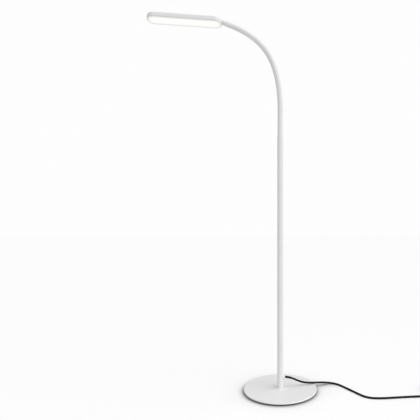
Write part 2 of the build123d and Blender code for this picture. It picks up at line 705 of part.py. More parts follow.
FIXED_PIECES = (
    base_pad, base_weight, base_cover, foot_rosette, base_bolt, base_washer, lower_pole_tube,
    upper_pole_tube, pole_foot_insert, pole_coupler, neck_adaptor, neck_grub_screw, cord_gland,
    gland_clip, pole_lead, neck_ferrule, head_nipple, head_washer, head_nut, power_cord,
    cord_coil, plug_cord, cord_tie, plug_body, plug_pins,
)
HEAD_PIECES = (
    head_shell, head_bezel, head_diffuser, led_board, led_chips, led_screws, driver_board,
    driver_parts, touch_board, head_lead,
)


def all_nodes():
    """Every node's name and its solid or group of solids, in the lamp's place."""
    nodes = {piece.__name__: piece() for piece in FIXED_PIECES}
    for piece in HEAD_PIECES:
        nodes[piece.__name__] = HEAD_PLACE * piece()
    for index in range(len(LINK_TURNS)):
        nodes[f"neck_sleeve_{index + 1:02d}"] = neck_sleeve(index)
        nodes[f"neck_core_{index + 1:02d}"] = neck_core(index)
    return nodes


os.makedirs("parts", exist_ok=True)
for name, solid in all_nodes().items():
    export_step(solid, f"parts/{name}.step")
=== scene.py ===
"""The looks of a gooseneck reading floor lamp, built round its CAD frame.

Lengths are in metres. +Z is up, the pole stands on the origin, the neck bends over towards -X
and the cord leaves the pole's foot towards +X.
"""

import json
import math

import bpy
import numpy as np
from mathutils import Matrix, Vector


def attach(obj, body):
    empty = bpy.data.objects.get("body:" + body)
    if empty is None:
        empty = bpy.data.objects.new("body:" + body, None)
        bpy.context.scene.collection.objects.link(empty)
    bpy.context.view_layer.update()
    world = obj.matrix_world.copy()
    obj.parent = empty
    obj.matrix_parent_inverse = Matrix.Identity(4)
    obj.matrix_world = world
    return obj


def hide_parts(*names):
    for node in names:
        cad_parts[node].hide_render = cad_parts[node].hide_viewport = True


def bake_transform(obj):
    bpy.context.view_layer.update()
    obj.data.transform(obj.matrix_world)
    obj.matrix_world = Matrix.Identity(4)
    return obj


bl_info = {
    "name": "Gooseneck reading floor lamp",
    "version": (1, 0, 0),
    "blender": (4, 5, 0),
    "location": "View3D > Sidebar > Lamp",
    "description": "Finishes a gooseneck floor lamp's frame and adds its neck sleeve and its cord",
    "category": "Object",
}

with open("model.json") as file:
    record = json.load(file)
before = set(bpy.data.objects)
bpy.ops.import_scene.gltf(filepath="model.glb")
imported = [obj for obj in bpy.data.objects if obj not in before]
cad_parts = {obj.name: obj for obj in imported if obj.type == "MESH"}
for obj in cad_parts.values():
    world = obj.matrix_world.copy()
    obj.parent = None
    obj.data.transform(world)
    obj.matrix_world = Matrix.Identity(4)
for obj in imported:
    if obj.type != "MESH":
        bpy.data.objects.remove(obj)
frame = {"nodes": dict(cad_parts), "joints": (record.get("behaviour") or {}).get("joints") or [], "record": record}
NODES = frame["nodes"]
JOINTS = {joint["name"]: joint for joint in frame["joints"]}
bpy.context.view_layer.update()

STAND = "stand"
NECK_START = 0.874  # the foot of the flexible neck
LINK_LENGTH = 0.045
LINK_TURNS = np.radians((0, 0, 4, 5.5, 7.5, 10.5, 13.5, 13, 9.5, 8))
LINKS = len(LINK_TURNS)
HEAD_ROLL = math.radians(8.5)
HEAD_LENGTH, HEAD_WIDTH, RIM_WIDTH = 0.250, 0.052, 0.010

# The cord's route from inside the gland to the coil, and from the coil to the plug.
CORD_ROUTE = (
    (0.007, 0, 0.046), (0.031, 0, 0.0455), (0.072, 0.009, 0.0225), (0.104, 0.017, 0.015),
    (0.150, 0.031, 0.010), (0.182, 0.0395, 0.0038), (0.207, 0.025, 0.0033),
    (0.227, -0.008, 0.0033), (0.249, -0.046, 0.0033), (0.276, -0.092, 0.0033),
    (0.318, -0.102, 0.0033), (0.380, -0.099, 0.0033), (0.440, -0.097, 0.0033),
    (0.4885, -0.10005, 0.00455), (0.5335, -0.10005, 0.00455),
)
CORD_TAIL = (
    (0.5465, -0.10005, 0.01165), (0.5705, -0.10005, 0.01165), (0.600, -0.108, 0.007),
    (0.628, -0.108, 0.007),
)
COIL_MIDDLE_X, COIL_SIDE_Y = 0.540, -0.10005
COIL_LOW, COIL_HIGH = 0.00455, 0.01165
COIL_OUTER, COIL_PITCH, COIL_HALF_TURNS = 0.04645, 0.0071, 6
COIL_POINTS = 8  # control points in each half turn

# The cord's sleeve, measured along the cord from its start and out from the cord's own radius.
SLEEVE_START = 0.0087  # just inside the gland's mouth
SLEEVE_BORE, SLEEVE_THICK, SLEEVE_THIN = -0.0002, 0.0007, 0.0003
SLEEVE_RINGS = 97
GROOVES, GROOVE_DEPTH = 6, 0.00025

RING = 48  # points round a tube
STEP = 0.0015  # distance between the rings of the neck
BEND_REACH = 0.0205  # how far to each side of a joint the neck bends

FLOOR_HALF = 9.0
FLOOR_GLOW = 0.07
PAINTED_SHADOW_DISTANCE, PAINTED_SHADOW_POWER, PAINTED_SHADOW_SHARE = 0.12, 4.0, 0.3  # painted shadow: the floor's colour darkened round the base by ambient occlusion raised to a power
PAINTED_SHADOW_END = (0.15, 0.22)  # distances from the pole between which that painted shadow fades away
KEY_ANGLE = math.radians(75)
KEY_TOWARDS = (0.58, -0.28, 0.76)
FILL_SIZE, FILL_PLACE, FILL_AIM = 0.6, (-0.3, -2.0, 0.35), (-0.1, 0, 0.9)
BACKDROP = 0.985  # brightness of the room as the camera sees it
DUST = (0.42, 0.40, 0.37)


# ---- Sizes and colours that a user would change ----


class LampSizes(bpy.types.PropertyGroup):
    neck_radius: bpy.props.FloatProperty(
        name="Neck radius", description="Outer radius of the smooth neck sleeve",
        default=0.009, min=0.005, max=0.012, unit="LENGTH")
    sleeve_wall: bpy.props.FloatProperty(
        name="Sleeve wall", description="Thickness of the neck sleeve",
        default=0.0008, min=0.0004, max=0.0016, unit="LENGTH")
    cord_diameter: bpy.props.FloatProperty(
        name="Cord diameter", description="Outer diameter of the power cord",
        default=0.0065, min=0.004, max=0.009, unit="LENGTH")
    relief_length: bpy.props.FloatProperty(
        name="Cord sleeve length", description="Length of the tapered sleeve where the cord leaves the pole",
        default=0.024, min=0.02, max=0.04, unit="LENGTH")


class LampColours(bpy.types.PropertyGroup):
    coat: bpy.props.FloatVectorProperty(
        name="Coat", description="Powder coat of the base, the pole and the neck's ends",
        default=(0.865, 0.865, 0.868), subtype="COLOR", min=0, max=1)
    sleeve: bpy.props.FloatVectorProperty(
        name="Neck sleeve", description="Soft sleeve of the neck",
        default=(0.855, 0.855, 0.86), subtype="COLOR", min=0, max=1)
    plastic: bpy.props.FloatVectorProperty(
        name="Head", description="Moulded plastic of the head and of the cord gland",
        default=(0.86, 0.86, 0.866), subtype="COLOR", min=0, max=1)
    light: bpy.props.FloatVectorProperty(
        name="Light", description="Colour of the lit panel at its middle",
        default=(1.0, 0.985, 0.955), subtype="COLOR", min=0, max=1)
    light_edge: bpy.props.FloatVectorProperty(
        name="Light at the edge", description="Colour of the lit panel along its border",
        default=(0.80, 0.71, 0.58), subtype="COLOR", min=0, max=1)
    # At half strength, this also sets the painted glow on the head's plastic beside the panel.
    glow: bpy.props.FloatProperty(
        name="Glow", description="Strength of the lit panel", default=0.65, min=0, max=10)
    cord: bpy.props.FloatVectorProperty(
        name="Cord", description="Colour of the power cord and its plug",
        default=(0.004, 0.004, 0.0042), subtype="COLOR", min=0, max=1)


class LampStage(bpy.types.PropertyGroup):
    lens: bpy.props.FloatProperty(
        name="Lens", description="Focal length of the camera", default=37.7, min=10, max=200)
    shift: bpy.props.FloatProperty(
        name="Shift", description="Sideways shift of the camera, which sets the lamp right of the middle",
        default=-0.1726, min=-0.5, max=0.5)
    camera_place: bpy.props.FloatVectorProperty(
        name="Camera", description="Where the camera stands",
        default=(-0.1238, -1.5049, 0.6185), subtype="XYZ", unit="LENGTH")
    camera_turn: bpy.props.FloatProperty(
        name="Camera turn", description="Turn of the camera about the vertical",
        default=math.radians(-5), subtype="ANGLE")
    sun: bpy.props.FloatProperty(
        name="Key light", description="Strength of the soft light from the right",
        default=1.85, min=0, max=10)
    fill: bpy.props.FloatProperty(
        name="Fill light", description="Power of the low light beside the camera",
        default=4.0, min=0, max=100, subtype="POWER")
    room: bpy.props.FloatProperty(
        name="Room light", description="Strength of the even light from all round",
        default=0.50, min=0, max=2)
    bounce: bpy.props.FloatProperty(
        name="Floor bounce", description="How much of its light the floor sends back to the lamp",
        default=0.58, min=0, max=1)
    floor: bpy.props.FloatVectorProperty(
        name="Floor", description="Colour of the floor",
        default=(0.95, 0.95, 0.95), subtype="COLOR", min=0, max=1)


# ---- Shader nodes ----


def put(tree, kind, feeds=(), **settings):
    """A shader node, with its settings and its inputs, which are values or other nodes' outputs."""
    node = tree.nodes.new("ShaderNode" + kind)
    for key, value in settings.items():
        setattr(node, key, value)
    for socket, value in feeds:
        if isinstance(value, bpy.types.NodeSocket):
            tree.links.new(value, node.inputs[socket])
        else:
            node.inputs[socket].default_value = value
    return node


def maths(tree, operation, *values):
    """The output of a Math node."""
    return put(tree, "Math", list(enumerate(values)), operation=operation).outputs[0]


def noise(tree, vector, scale, detail=2.0, roughness=0.5, distortion=0.0):
    """The output of a Noise node, from 0 to 1."""
    feeds = [("Vector", vector), ("Scale", scale), ("Detail", detail),
             ("Roughness", roughness), ("Distortion", distortion)]
    return put(tree, "TexNoise", feeds).outputs[0]


def ramp(tree, value, start, end, low=0.0, high=1.0):
    """A value carried smoothly from one range to another, and held at its ends."""
    feeds = [("Value", value), ("From Min", start), ("From Max", end), ("To Min", low), ("To Max", high)]
    return put(tree, "MapRange", feeds, interpolation_type="SMOOTHSTEP").outputs[0]


def blend_colours(tree, share, first, second):
    """The colour that lies at that share between two colours."""
    node = put(tree, "Mix", data_type="RGBA")
    for socket, value in ((0, share), (6, first), (7, second)):
        if isinstance(value, bpy.types.NodeSocket):
            tree.links.new(value, node.inputs[socket])
        else:
            node.inputs[socket].default_value = (*value, 1.0) if socket else value
    return node.outputs[2]


def new_group(name, inputs, outputs):
    """An empty group of shader nodes with named inputs and outputs."""
    group = bpy.data.node_groups.new(name, "ShaderNodeTree")
    for label, kind, default in inputs:
        socket = group.interface.new_socket(name=label, in_out="INPUT", socket_type="NodeSocket" + kind)
        if default is not None:
            socket.default_value = default
    for label, kind in outputs:
        group.interface.new_socket(name=label, in_out="OUTPUT", socket_type="NodeSocket" + kind)
    return group, group.nodes.new("NodeGroupInput").outputs, group.nodes.new("NodeGroupOutput").inputs


def surface_grain_group():
    """Fine grain over broad, shallow waves: Height for a bump, and a slow Tone from 0 to 1."""
    group, given, result = new_group(
        "Surface grain",
        [("Vector", "Vector", None), ("Grain", "Float", 900.0), ("Waves", "Float", 60.0),
         ("Wave share", "Float", 0.5)],
        [("Height", "Float"), ("Tone", "Float")])
    fine = noise(group, given["Vector"], given["Grain"], 3.0, 0.6)
    broad = noise(group, given["Vector"], given["Waves"], 1.0, 0.4)
    waves = maths(group, "MULTIPLY", broad, given["Wave share"])
    group.links.new(maths(group, "ADD", fine, waves), result["Height"])
    slow = noise(group, given["Vector"], 7.0, 2.0, 0.5)
    group.links.new(ramp(group, slow, 0.3, 0.7), result["Tone"])
    return group


def handling_group():
    """Faint smudges where hands have been: a Mask from 0 to Amount."""
    group, given, result = new_group(
        "Handling marks",
        [("Vector", "Vector", None), ("Scale", "Float", 30.0), ("Amount", "Float", 0.2)],
        [("Mask", "Float")])
    patches = ramp(group, noise(group, given["Vector"], given["Scale"], 4.0, 0.6, 0.6), 0.52, 0.74)
    places = ramp(group, noise(group, given["Vector"], 6.0, 1.0), 0.42, 0.62)
    mask = maths(group, "MULTIPLY", maths(group, "MULTIPLY", patches, places), given["Amount"])
    group.links.new(mask, result["Mask"])
    return group


def dust_group():
    """Settled dust that thins out with the height above the floor: a Mask from 0 to Amount."""
    group, given, result = new_group(
        "Low dust",
        [("Vector", "Vector", None), ("Fade height", "Float", 0.05), ("Amount", "Float", 0.1)],
        [("Mask", "Float")])
    height = put(group, "SeparateXYZ", [("Vector", given["Vector"])]).outputs["Z"]
    share = maths(group, "DIVIDE", height, given["Fade height"])
    low = ramp(group, share, 0.0, 1.0, 1.0, 0.0)
    specks = ramp(group, noise(group, given["Vector"], 420.0, 3.0, 0.7), 0.35, 0.8)
    mask = maths(group, "MULTIPLY", maths(group, "MULTIPLY", low, specks), given["Amount"])
    group.links.new(mask, result["Mask"])
    return group


def drawn_lines_group():
    """Fine lines left by drawing or turning, stretched along one axis by the vector that is given."""
    group, given, result = new_group(
        "Drawn lines",
        [("Vector", "Vector", None), ("Scale", "Float", 400.0)],
        [("Height", "Float"), ("Tone", "Float")])
    lines = noise(group, given["Vector"], given["Scale"], 4.0, 0.7)
    group.links.new(lines, result["Height"])
    group.links.new(ramp(group, lines, 0.3, 0.7), result["Tone"])
    return group


def panel_border_group():
    """How near a point is to the border of a flat shape with round ends.

    With x and y measured from its middle and h the half length less the half width, the
    distance outside is the length of (max(|x| - h, 0), y) less the half width; the Mask goes
    from 0 one band inside the border to 1 on it.
    """
    group, given, result = new_group(
        "Panel border",
        [("Vector", "Vector", None), ("Half length", "Float", 0.119), ("Half width", "Float", 0.02),
         ("Band", "Float", 0.006)],
        [("Mask", "Float")])
    place = put(group, "SeparateXYZ", [("Vector", given["Vector"])]).outputs
    straight = maths(group, "SUBTRACT", given["Half length"], given["Half width"])
    beyond = maths(group, "SUBTRACT", maths(group, "ABSOLUTE", place["X"]), straight)
    past = maths(group, "MAXIMUM", beyond, 0.0)
    squares = maths(group, "ADD", maths(group, "MULTIPLY", past, past),
                    maths(group, "MULTIPLY", place["Y"], place["Y"]))
    outside = maths(group, "SUBTRACT", maths(group, "SQRT", squares), given["Half width"])
    share = maths(group, "DIVIDE", outside, given["Band"])
    group.links.new(ramp(group, share, -1.0, 0.0), result["Mask"])
    return group


GROUP_MAKERS = {
    "Surface grain": surface_grain_group, "Handling marks": handling_group, "Low dust": dust_group,
    "Drawn lines": drawn_lines_group, "Panel border": panel_border_group,
}


def use_group(tree, name, **feeds):
    """One of the shared groups, placed in a material with its own values."""
    group = bpy.data.node_groups.get(name) or GROUP_MAKERS[name]()
    node = tree.nodes.new("ShaderNodeGroup")
    node.node_tree = group
    for key, value in feeds.items():
        socket = node.inputs[key.replace("_", " ")]
        if isinstance(value, bpy.types.NodeSocket):
            tree.links.new(value, socket)
        else:
            socket.default_value = value
    return node.outputs


def new_material(name, **values):
    """A material with a Principled BSDF that has these values: (material, its nodes, its shader's inputs)."""
    material = bpy.data.materials.new(name)
    material.use_nodes = True
    tree = material.node_tree
    shader = next(node for node in tree.nodes if node.type == "BSDF_PRINCIPLED").inputs
    for key, value in values.items():
        shader[key.replace("_", " ")].default_value = value
    return material, tree, shader


def object_place(tree, scale=(1, 1, 1)):
    """Object coordinates, stretched by a scale for each axis."""
    place = put(tree, "TexCoord").outputs["Object"]
    if scale == (1, 1, 1):
        return place
    return put(tree, "Mapping", [("Vector", place), ("Scale", scale)]).outputs[0]


def bump(tree, shader, height, depth):
    """Feeds the shader's normal with a height map of that depth in metres."""
    node = put(tree, "Bump", [("Height", height), ("Distance", depth), ("Strength", 1.0)])
    tree.links.new(node.outputs[0], shader["Normal"])


def painted(name, colour, roughness, grain, waves, depth, marks=0.15, dust=0.1, **values):
    """A paint, coat or moulded plastic with grain, faint smudges and dust near the floor."""
    material, tree, shader = new_material(name, **values)
    place = object_place(tree)
    texture = use_group(tree, "Surface grain", Vector=place, Grain=grain, Waves=waves, Wave_share=0.6)
    smudge = use_group(tree, "Handling marks", Vector=place, Scale=38.0, Amount=marks)["Mask"]
    dusty = use_group(tree, "Low dust", Vector=place, Fade_height=0.03, Amount=dust)["Mask"]
    darker = tuple(0.965 * c for c in colour)
    tone = blend_colours(tree, texture["Tone"], colour, darker)
    soiled = blend_colours(tree, smudge, tone, tuple(0.8 * c for c in colour))
    tree.links.new(blend_colours(tree, dusty, soiled, DUST), shader["Base Color"])
    varied = ramp(tree, texture["Tone"], 0.0, 1.0, roughness - 0.03, roughness + 0.04)
    rough = maths(tree, "ADD", varied, maths(tree, "MULTIPLY", smudge, 0.5))
    tree.links.new(maths(tree, "ADD", rough, dusty), shader["Roughness"])
    bump(tree, shader, texture["Height"], depth)
    return material


def bare_metal(name, colour, roughness, stretch, scale, depth, **values):
    """A bare metal with fine lines that run along its stretched axis, and stains."""
    material, tree, shader = new_material(name, Metallic=1.0, **values)
    lines = use_group(tree, "Drawn lines", Vector=object_place(tree, scale=stretch), Scale=scale)
    stain = use_group(tree, "Handling marks", Vector=object_place(tree), Scale=60.0, Amount=0.5)["Mask"]
    tone = blend_colours(tree, lines["Tone"], colour, tuple(0.82 * c for c in colour))
    tree.links.new(blend_colours(tree, stain, tone, tuple(0.6 * c for c in colour)), shader["Base Color"])
    rough = ramp(tree, lines["Tone"], 0.0, 1.0, roughness - 0.05, roughness + 0.08)
    tree.links.new(maths(tree, "ADD", rough, maths(tree, "MULTIPLY", stain, 0.3)), shader["Roughness"])
    bump(tree, shader, lines["Height"], depth)
    return material


# ---- Finishes ----


def head_axes():
    """The head's middle and its axes at rest: along it to the tip, across it, and out of its back."""
    joint = JOINTS["head_turn"]
    along = Vector(joint["axis"]).normalized()
    upright = (Vector((0, 0, 1)) - along * along.z).normalized()
    across = upright.cross(along)
    turned = across * math.cos(HEAD_ROLL) + upright * math.sin(HEAD_ROLL)
    back = upright * math.cos(HEAD_ROLL) - across * math.sin(HEAD_ROLL)
    middle = Vector(joint["pos_m"]) + along * (HEAD_LENGTH / 2)
    return middle, along, turned, back


def head_place(tree):
    """Object coordinates carried into the head's own axes, with the origin at its middle."""
    middle, along, across, back = head_axes()
    turn = Matrix((along, across, back))
    place = put(tree, "TexCoord").outputs["Object"]
    feeds = [("Vector", place), ("Rotation", turn.to_euler("XYZ")), ("Location", -(turn @ middle))]
    return put(tree, "Mapping", feeds).outputs[0]


def powder_coat(colours):
    return painted("powder coat", tuple(colours.coat), 0.42, 1100.0, 140.0, 0.000025,
                   marks=0.10, dust=0.10, Specular_IOR_Level=0.4)


def neck_sleeve_finish(colours):
    """The sleeve's soft plastic: a finer grain than the coat's, and a dull sheen."""
    return painted("soft sleeve", tuple(colours.sleeve), 0.5, 1600.0, 220.0, 0.00003,
                   marks=0.14, dust=0.0, Specular_IOR_Level=0.35, Sheen_Weight=0.08, Sheen_Roughness=0.4)


def head_plastic(colours):
    """Moulded plastic with a painted glow beside the panel, standing in for the panel's light showing through it.
    """
    material = painted("moulded white plastic", tuple(colours.plastic), 0.4, 1900.0, 260.0, 0.000025,
                       marks=0.12, dust=0.0, Specular_IOR_Level=0.42, Emission_Strength=colours.glow * 0.5)
    tree = material.node_tree
    shader = next(node for node in tree.nodes if node.type == "BSDF_PRINCIPLED").inputs
    # Painted glow: emission masked to the band beside the panel brightens the plastic, which is no lamp.
    outside = use_group(tree, "Panel border", Vector=head_place(tree), Half_length=HEAD_LENGTH / 2,
                        Half_width=HEAD_WIDTH / 2, Band=0.6 * RIM_WIDTH)["Mask"]
    glow = blend_colours(tree, outside, tuple(colours.light), (0, 0, 0))
    tree.links.new(glow, shader["Emission Color"])
    return material


def lit_panel(colours):
    """The opal panel: even light with a warmer, dimmer border, over fine frosting."""
    material, tree, shader = new_material("lit opal panel", Roughness=0.55, Emission_Strength=colours.glow)
    place = head_place(tree)
    border = use_group(tree, "Panel border", Vector=place, Half_length=HEAD_LENGTH / 2 - RIM_WIDTH,
                       Half_width=HEAD_WIDTH / 2 - RIM_WIDTH, Band=0.0035)["Mask"]
    glow = blend_colours(tree, border, tuple(colours.light), tuple(colours.light_edge))
    cloud = noise(tree, place, 25.0, 1.0)
    dim = blend_colours(tree, ramp(tree, cloud, 0.3, 0.7, 0.0, 0.03), (1, 1, 1), (0.85, 0.85, 0.85))
    mixed = put(tree, "Mix", data_type="RGBA", blend_type="MULTIPLY")
    mixed.inputs[0].default_value = 1.0
    tree.links.new(glow, mixed.inputs[6])
    tree.links.new(dim, mixed.inputs[7])
    tree.links.new(mixed.outputs[2], shader["Emission Color"])
    tree.links.new(blend_colours(tree, border, (0.60, 0.59, 0.57), (0.62, 0.57, 0.48)), shader["Base Color"])
    frost = use_group(tree, "Surface grain", Vector=place, Grain=2600.0, Waves=400.0, Wave_share=0.2)
    bump(tree, shader, frost["Height"], 0.00002)
    return material


def washer_finish(_):
    return painted("grey washer", (0.40, 0.40, 0.41), 0.6, 1500.0, 300.0, 0.00004, marks=0.2, dust=0.0)


def iron_finish(_):
    """The weight: dark, rough, with a pitted skin."""
    material, tree, shader = new_material("rough iron", Metallic=0.35, Roughness=0.7)
    place = object_place(tree)
    grain = use_group(tree, "Surface grain", Vector=place, Grain=500.0, Waves=90.0, Wave_share=1.0)
    tree.links.new(blend_colours(tree, grain["Tone"], (0.030, 0.030, 0.032), (0.018, 0.017, 0.017)),
                   shader["Base Color"])
    tree.links.new(ramp(tree, grain["Tone"], 0.0, 1.0, 0.6, 0.8), shader["Roughness"])
    bump(tree, shader, grain["Height"], 0.0003)
    return material


def foam_finish(_):
    """The foam pad: open cells half a millimetre across."""
    material, tree, shader = new_material("foam pad", Roughness=0.95, Specular_IOR_Level=0.1)
    place = object_place(tree)
    cells = put(tree, "TexVoronoi", [("Vector", place), ("Scale", 1800.0)]).outputs["Distance"]
    share = ramp(tree, cells, 0.1, 0.6)
    tone = blend_colours(tree, share, (0.012, 0.012, 0.012), (0.035, 0.035, 0.036))
    tree.links.new(tone, shader["Base Color"])
    bump(tree, shader, cells, 0.0003)
    return material


def zinc_finish(_):
    return bare_metal("zinc plate", (0.62, 0.62, 0.60), 0.35, (1, 1, 6), 300.0, 0.00003)


def nickel_finish(_):
    return bare_metal("nickel plate", (0.72, 0.70, 0.66), 0.16, (1, 8, 8), 250.0, 0.00001)


def hose_finish(_):
    """Wound steel: bands about two millimetres apart, round the neck."""
    material, tree, shader = new_material("wound steel", Metallic=1.0, Roughness=0.42)
    place = object_place(tree)
    bands = put(tree, "TexWave", [("Vector", place), ("Scale", 160.0), ("Distortion", 0.4)],
                wave_type="BANDS", bands_direction="DIAGONAL").outputs["Fac"]
    tree.links.new(blend_colours(tree, bands, (0.18, 0.18, 0.18), (0.5, 0.5, 0.51)), shader["Base Color"])
    bump(tree, shader, bands, 0.0004)
    return material


def cord_finish(colours):
    """Smooth flexible plastic: a faint fine grain and a slightly uneven gloss."""
    material, tree, shader = new_material("cord plastic", Specular_IOR_Level=0.2)
    place = object_place(tree)
    grain = use_group(tree, "Surface grain", Vector=place, Grain=1400.0, Waves=170.0, Wave_share=1.0)
    dusty = use_group(tree, "Low dust", Vector=place, Fade_height=0.02, Amount=0.05)["Mask"]
    black = tuple(colours.cord)
    tone = blend_colours(tree, grain["Tone"], black, tuple(1.5 * c for c in black))
    tree.links.new(blend_colours(tree, dusty, tone, (0.14, 0.13, 0.12)), shader["Base Color"])
    tree.links.new(ramp(tree, grain["Tone"], 0.0, 1.0, 0.46, 0.56), shader["Roughness"])
    bump(tree, shader, grain["Height"], 0.00006)
    return material


def plug_finish(colours):
    return painted("plug plastic", tuple(3.5 * c for c in colours.cord), 0.48, 1300.0, 240.0, 0.00006,
                   marks=0.1, dust=0.03, Specular_IOR_Level=0.4)


def lead_finish(_):
    return painted("inner lead", (0.72, 0.72, 0.70), 0.5, 1500.0, 200.0, 0.00004, marks=0.1, dust=0.0)


def white_board_finish(_):
    """The light board's white mask, with the fine ripple of printed layers."""
    return painted("white board", (0.84, 0.84, 0.82), 0.38, 2400.0, 500.0, 0.00002, marks=0.05, dust=0.0)


def green_board_finish(_):
    """A circuit board: paler copper tracks under green mask."""
    material, tree, shader = new_material("green board", Roughness=0.4)
    tracks = put(tree, "TexBrick", [("Vector", head_place(tree)), ("Scale", 260.0), ("Mortar Size", 0.16),
                                    ("Color1", (0.012, 0.10, 0.035, 1)), ("Color2", (0.010, 0.085, 0.03, 1)),
                                    ("Mortar", (0.03, 0.19, 0.07, 1))])
    tree.links.new(tracks.outputs["Color"], shader["Base Color"])
    bump(tree, shader, tracks.outputs["Fac"], 0.00005)
    return material


def chip_finish(_):
    """The light chips' yellow phosphor, slightly domed and grainy."""
    material, tree, shader = new_material("phosphor", Roughness=0.35)
    place = object_place(tree)
    grain = use_group(tree, "Surface grain", Vector=place, Grain=5000.0, Waves=900.0, Wave_share=0.5)
    tree.links.new(blend_colours(tree, grain["Height"], (0.86, 0.62, 0.10), (0.95, 0.78, 0.22)),
                   shader["Base Color"])
    bump(tree, shader, grain["Height"], 0.00002)
    return material


FINISHES = {
    "white_coat": powder_coat, "white_sleeve": neck_sleeve_finish, "white_plastic": head_plastic,
    "opal_panel": lit_panel, "weight_iron": iron_finish, "zinc_steel": zinc_finish,
    "hose_steel": hose_finish, "dark_washer": washer_finish, "pad_foam": foam_finish,
    "black_cord": cord_finish, "black_plastic": plug_finish, "inner_lead": lead_finish,
    "board_white": white_board_finish, "board_green": green_board_finish, "chip_yellow": chip_finish,
    "pin_nickel": nickel_finish,
}
SLOT_OF = {part["node"]: part["material_slot"] for part in frame["record"]["subparts"]}
MADE = {}


def finish_of(slot, context):
    """The material of a slot of the record, made once."""
    if slot not in MADE:
        MADE[slot] = FINISHES[slot](context.scene.lamp_colours)
    return MADE[slot]


def finish_nodes(context, names):
    """Gives CAD nodes the material of their slot."""
    for name in names:
        node, material = NODES[name], finish_of(SLOT_OF[name], context)
        if not node.material_slots:
            node.data.materials.append(material)
        for slot in node.material_slots:
            slot.material = material


# ---- Surfaces worked out on grids ----


def grid_object(name, grid, material):
    """A closed surface over a grid of points whose rows and columns both run round.

    The face between rows i and i + 1 and columns j and j + 1 faces outwards when the columns
    turn counter-clockwise about the way that the first rows run.
    """
    rows, columns = grid.shape[:2]
    index = np.arange(rows * columns).reshape(rows, columns)
    low, high = index, np.roll(index, -1, 0)
    faces = np.stack([low, np.roll(low, -1, 1), np.roll(high, -1, 1), high], -1).reshape(-1, 4)
    mesh = bpy.data.meshes.new(name)
    mesh.from_pydata(grid.reshape(-1, 3).tolist(), [], faces.tolist())
    mesh.shade_smooth()
    mesh.set_sharp_from_angle(angle=math.radians(40))
    mesh.materials.append(material)
    piece = bpy.data.objects.new(name, mesh)
    bpy.context.scene.collection.objects.link(piece)
    return piece


def ring_points(centres, first, second, radii):
    """Rings round a path: centre + radius * (cos(a) * first + sin(a) * second)."""
    angle = np.linspace(0, 2 * np.pi, RING, endpoint=False)
    circle = np.cos(angle)[None, :, None] * first[:, None] + np.sin(angle)[None, :, None] * second[:, None]
    return centres[:, None] + radii[:, None, None] * circle


def neck_line(distance):
    """The neck's middle line at rest, and its lean, at distances along it.

    Each stretch is an arc. A point of it lies from the stretch's start by the chord
    s * sin(h) / h, in the direction of the lean there plus h, where s is the distance into the
    stretch and h is half of what it has turned by.
    """
    def arc(start, lean, turn, s):
        half = turn * s / LINK_LENGTH / 2
        chord = s * np.sinc(half / np.pi)
        return start + chord[..., None] * np.stack([-np.sin(lean + half), 0 * half, np.cos(lean + half)], -1)

    leans = np.concatenate([[0], np.cumsum(LINK_TURNS)])
    starts = [np.array([0, 0, NECK_START])]
    for lean, turn in zip(leans, LINK_TURNS):
        starts.append(arc(starts[-1], lean, turn, np.array(LINK_LENGTH)))
    link = np.clip((distance / LINK_LENGTH).astype(int), 0, LINKS - 1)
    into = distance - link * LINK_LENGTH
    points = arc(np.array(starts)[link], leans[link], LINK_TURNS[link], into)
    return points, leans[link] + LINK_TURNS[link] * into / LINK_LENGTH


def neck_skin(name, start, end, sizes, material):
    """A stretch of the neck's sleeve as a tube with a wall, along the neck's middle line.

    The outer rings run from its start to its end and the inner rings run back.
    """
    along = np.linspace(start, end, round((end - start) / STEP) + 1)
    points, lean = neck_line(along)
    radius = np.full(len(along), sizes.neck_radius)
    profile = np.concatenate([radius, radius - sizes.sleeve_wall])
    order = np.concatenate([np.arange(len(along)), np.arange(len(along))[::-1]])
    lean = lean[order]
    across = np.stack([np.cos(lean), 0 * lean, np.sin(lean)], -1)
    side = np.tile((0.0, 1.0, 0.0), (len(lean), 1))
    return grid_object(name, ring_points(points[order], across, side, profile), material)


def coil_points():
    """Control points of the put-away coil: half turns that spiral in on the floor and out above.

    Each half turn has its own middle. Its points lie at even angles from it, further out than
    its radius by 1 / cos(half their step), so that the spline's own radius is the half turn's.
    """
    radii = [COIL_OUTER - n * COIL_PITCH / 2 for n in range(COIL_HALF_TURNS + 1)]
    radii += radii[-2:0:-1]
    step = math.pi / COIL_POINTS
    angle = (np.arange(COIL_POINTS) + 0.5) * step
    stretch = 1 / math.cos(step / 2)
    rising = (np.arange(COIL_POINTS) + 0.5) / COIL_POINTS
    turns, y, heading = [], COIL_SIDE_Y, 1
    for n, radius in enumerate(radii):
        climb = rising if n == COIL_HALF_TURNS else float(n > COIL_HALF_TURNS)
        height = COIL_LOW + (COIL_HIGH - COIL_LOW) * climb + 0 * angle
        turns.append(np.stack([COIL_MIDDLE_X + heading * stretch * radius * np.sin(angle),
                               y + heading * radius * (1 - stretch * np.cos(angle)), height], -1))
        y, heading = y + 2 * radius * heading, -heading
    return np.concatenate(turns)


def cord_curve(name, points, thickness):
    """A round cord along a smooth NURBS spline with those control points."""
    curve = bpy.data.curves.new(name, "CURVE")
    curve.dimensions = "3D"
    spline = curve.splines.new("NURBS")
    spline.points.add(len(points) - 1)
    spline.points.foreach_set("co", np.c_[points, np.ones(len(points))].ravel())
    spline.order_u = 3
    spline.use_endpoint_u = True
    curve.resolution_u = 8
    curve.bevel_depth = thickness / 2
    curve.bevel_resolution = 6
    curve.use_fill_caps = True
    piece = bpy.data.objects.new(name, curve)
    bpy.context.scene.collection.objects.link(piece)
    return piece


def curve_line(piece):
    """The points of a curve's own line, without its thickness."""
    bare = bpy.data.objects.new("bare", piece.data.copy())
    bare.data.bevel_depth = 0
    mesh = bpy.data.meshes.new_from_object(bare)
    line = np.zeros(len(mesh.vertices) * 3)
    mesh.vertices.foreach_get("co", line)
    bpy.data.meshes.remove(mesh)
    bpy.data.curves.remove(bare.data)
    return line.reshape(-1, 3)


